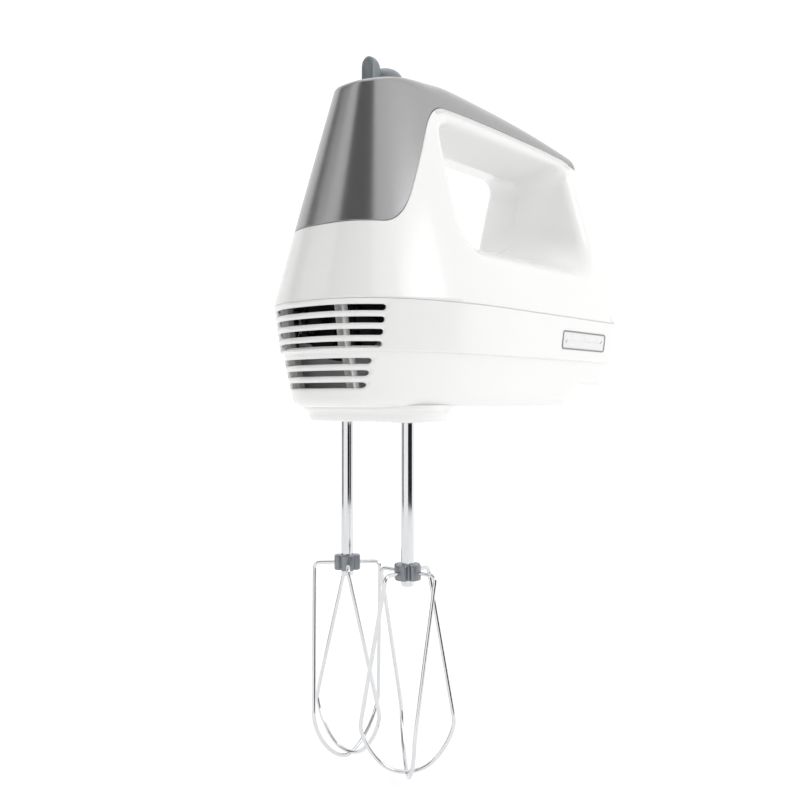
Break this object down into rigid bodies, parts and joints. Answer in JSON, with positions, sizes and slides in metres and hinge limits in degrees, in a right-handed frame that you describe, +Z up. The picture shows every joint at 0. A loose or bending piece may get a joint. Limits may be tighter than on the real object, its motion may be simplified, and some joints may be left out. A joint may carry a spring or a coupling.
{
  "type": "hand mixer",
  "caption": "Hand-held electric kitchen mixer with an open loop handle, front speed lever, vented nose and two counter-rotating wire whisk beaters.",
  "frame": {"origin": "midway between the two beater axes, on the underside of the beater platform", "axes": "+Z up along the beater axes, nose towards -X, heel towards +X, the near beater at -Y"},
  "size_m": [0.188, 0.096, 0.3165],
  "materials": {
    "white_abs": "glossy moulded white ABS",
    "grey_cover": "metallic grey lacquer on moulded ABS",
    "grey_control": "satin dark grey ABS",
    "badge": "plain light grey badge",
    "dark_frame": "glass-filled nylon",
    "black_fan": "black nylon",
    "white_acetal": "natural acetal",
    "chrome": "bright nickel-chrome plated steel wire",
    "steel": "ground steel",
    "collar_steel": "satin sintered steel",
    "laminations": "stacked silicon-steel laminations",
    "copper": "enamelled copper winding",
    "bronze": "oil-filled sintered bronze",
    "brass": "drawn brass",
    "carbon": "pressed carbon",
    "spring_steel": "spring steel wire",
    "board": "solder-masked glass epoxy",
    "component": "moulded electronic parts"
  },
  "bodies": {
    "housing": {"upper_housing": "white_abs", "lower_housing": "white_abs", "handle_cover": "grey_cover", "badge_plate": "badge", "gear_case": "dark_frame", "gear_cover": "dark_frame", "gear_case_screws": "steel", "gear_cover_screws": "steel", "spindle_bushes": "bronze", "front_bearing": "bronze", "rear_bearing": "bronze", "motor_stator": "laminations", "field_coils": "copper", "motor_spacers": "dark_frame", "motor_screws": "steel", "rear_bracket": "dark_frame", "brush_holders": "brass", "carbon_brushes": "carbon", "brush_springs": "spring_steel", "control_frame": "dark_frame", "control_frame_screws": "steel", "speed_switch": "dark_frame", "ejector_spring": "spring_steel", "boost_switch": "dark_frame", "boost_spring": "spring_steel", "circuit_board": "board", "board_components": "component", "board_screws": "steel", "cord_gland": "dark_frame", "cord_clamp": "dark_frame", "clamp_screws": "steel", "housing_screws": "steel"},
    "ejector": {"ejector_yoke": "white_acetal"},
    "speed_lever": {"speed_lever": "grey_control"},
    "boost_button": {"boost_button": "grey_control"},
    "armature": {"armature_shaft": "steel", "armature_core": "laminations", "armature_windings": "copper", "commutator": "brass", "cooling_fan": "black_fan"},
    "spindle_near": {"spindle_near": "steel", "worm_wheel_near": "white_acetal"},
    "spindle_far": {"spindle_far": "steel", "worm_wheel_far": "white_acetal"},
    "beater_near": {"beater_near_stem": "chrome", "beater_near_collar": "collar_steel", "beater_near_whisk": "chrome"},
    "beater_far": {"beater_far_stem": "chrome", "beater_far_collar": "collar_steel", "beater_far_whisk": "chrome"}
  },
  "joints": [
    {"name": "motor_spin", "type": "hinge", "parent": "housing", "child": "armature", "pos_m": [0, 0, 0.053], "axis": [1, 0, 0], "continuous": true},
    {"name": "near_spin", "type": "hinge", "parent": "housing", "child": "spindle_near", "pos_m": [0, -0.018, 0.053], "axis": [0, 0, 1], "continuous": true},
    {"name": "far_spin", "type": "hinge", "parent": "housing", "child": "spindle_far", "pos_m": [0, 0.018, 0.053], "axis": [0, 0, 1], "continuous": true},
    {"name": "ejector_press", "type": "slide", "parent": "housing", "child": "ejector", "axis": [0, 0, -1], "range_m": [0, 0.006], "stiffness_N_per_m": 400, "springref_m": -0.002, "deforming": ["ejector_spring"]},
    {"name": "near_eject", "type": "slide", "parent": "spindle_near", "child": "beater_near", "axis": [0, 0, -1], "range_m": [0, 0.006]},
    {"name": "far_eject", "type": "slide", "parent": "spindle_far", "child": "beater_far", "axis": [0, 0, -1], "range_m": [0, 0.006]},
    {"name": "speed_swing", "type": "hinge", "parent": "ejector", "child": "speed_lever", "pos_m": [0.006, 0, 0.15], "axis": [0, 0, 1], "range_deg": [-28, 28]},
    {"name": "boost_press", "type": "slide", "parent": "housing", "child": "boost_button", "axis": [0, 0, -1], "range_m": [0, 0.0012], "stiffness_N_per_m": 500, "springref_m": -0.001, "deforming": ["boost_spring"]}
  ],
  "couplings": [
    {"joint": "near_spin", "follows": "motor_spin", "ratio": 0.041667},
    {"joint": "far_spin", "follows": "motor_spin", "ratio": -0.041667},
    {"joint": "near_eject", "follows": "ejector_press", "ratio": 1},
    {"joint": "far_eject", "follows": "ejector_press", "ratio": 1}
  ]
}
